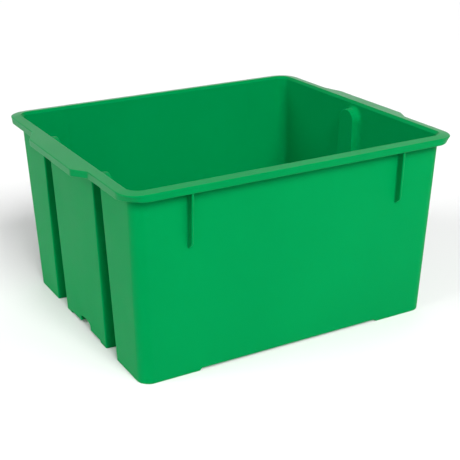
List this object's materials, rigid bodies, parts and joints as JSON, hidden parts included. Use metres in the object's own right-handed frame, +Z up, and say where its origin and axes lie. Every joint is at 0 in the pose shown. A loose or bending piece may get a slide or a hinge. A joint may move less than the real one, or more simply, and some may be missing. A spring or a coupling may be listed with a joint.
{
  "type": "stackable storage bin",
  "caption": "Open-topped green plastic tote with drafted walls, pressed-in nesting ribs on its ends, a flanged rim with handles, and corner feet; nests one way round and stacks the other.",
  "frame": {"origin": "centre of the bin's box in plan, on the plane of the feet's undersides", "axes": "+X along the long sides, towards the end with one nesting rib; +Y across the bin, towards the back long side; +Z up"},
  "size_m": [0.5976, 0.5026, 0.308],
  "materials": {
    "moulded_green_plastic": "satin injection moulding, bright green"
  },
  "bodies": {
    "root": {"back_wall": "moulded_green_plastic", "corner_back_left": "moulded_green_plastic", "corner_back_right": "moulded_green_plastic", "corner_front_left": "moulded_green_plastic", "corner_front_right": "moulded_green_plastic", "floor_panel": "moulded_green_plastic", "foot_back_left": "moulded_green_plastic", "foot_back_right": "moulded_green_plastic", "foot_front_left": "moulded_green_plastic", "foot_front_right": "moulded_green_plastic", "front_wall": "moulded_green_plastic", "gusset_back_left": "moulded_green_plastic", "gusset_back_right": "moulded_green_plastic", "gusset_front_left": "moulded_green_plastic", "gusset_front_right": "moulded_green_plastic", "left_end_panel": "moulded_green_plastic", "left_handle": "moulded_green_plastic", "left_nesting_rib_back": "moulded_green_plastic", "left_nesting_rib_front": "moulded_green_plastic", "left_stacking_notch": "moulded_green_plastic", "right_end_panel_back": "moulded_green_plastic", "right_end_panel_front": "moulded_green_plastic", "right_handle": "moulded_green_plastic", "right_nesting_rib": "moulded_green_plastic", "right_stacking_notch_back": "moulded_green_plastic", "right_stacking_notch_front": "moulded_green_plastic", "rim_back": "moulded_green_plastic", "rim_corner_back_left": "moulded_green_plastic", "rim_corner_back_right": "moulded_green_plastic", "rim_corner_front_left": "moulded_green_plastic", "rim_corner_front_right": "moulded_green_plastic", "rim_front": "moulded_green_plastic"}
  },
  "joints": []
}
